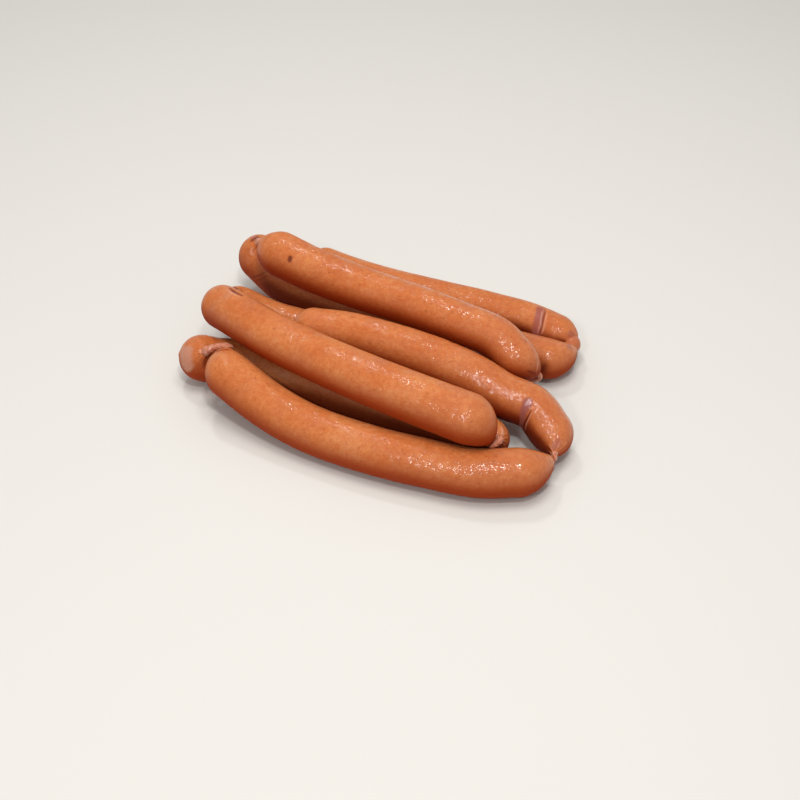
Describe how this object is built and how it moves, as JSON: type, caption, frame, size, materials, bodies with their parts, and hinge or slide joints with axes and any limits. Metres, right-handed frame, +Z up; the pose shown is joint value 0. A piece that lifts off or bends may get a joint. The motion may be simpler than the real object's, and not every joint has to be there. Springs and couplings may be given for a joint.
{
  "type": "string of sausage links",
  "caption": "String of cooked frankfurter links in one natural casing, twisted between links and folded to and fro in two layers.",
  "frame": {"origin": "on the surface that the string lies on, under the middle of its bounding box", "axes": "+X along the links, +Y away from the front link towards the back one, +Z up"},
  "size_m": [0.2104, 0.144, 0.0491],
  "materials": {
    "casing": "moist, glossy natural casing over fine cooked meat"
  },
  "bodies": {
    "root": {"sausage_string": "casing"}
  },
  "joints": []
}
